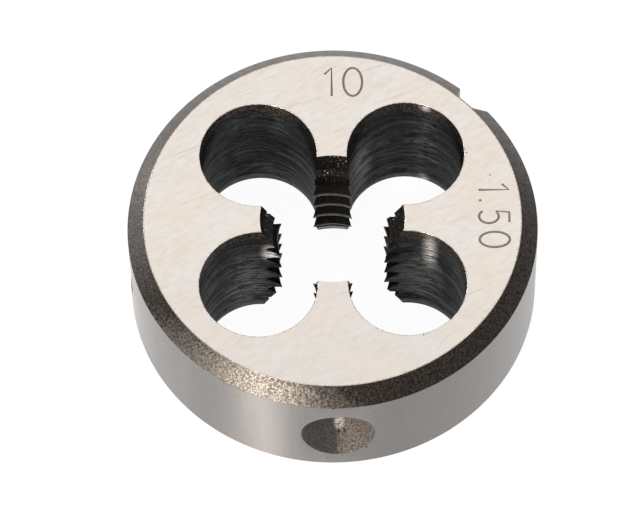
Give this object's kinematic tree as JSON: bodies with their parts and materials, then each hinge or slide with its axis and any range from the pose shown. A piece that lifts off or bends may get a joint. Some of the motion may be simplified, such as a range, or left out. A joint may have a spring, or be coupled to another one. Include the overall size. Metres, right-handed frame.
{
  "type": "round threading die",
  "caption": "Round steel threading die: bevelled disc, threaded bore on four lands between round chip holes, rim notch and two conical screw seats.",
  "frame": {"origin": "centre of the back face, on the thread's axis, where the disc rests", "axes": "+Z along the thread's axis from the back face to the marked face; the four lands lie at +X, +Y, -X and -Y, the rim notch at 45 degrees from +X and the screw seats at -X and close to -Y"},
  "size_m": [0.03, 0.03, 0.011],
  "materials": {
    "tool_steel": "light ground faces and rim, blackened grainy bevels, dark chip holes and thread"
  },
  "bodies": {
    "root": {"die_body": "tool_steel"}
  },
  "joints": []
}
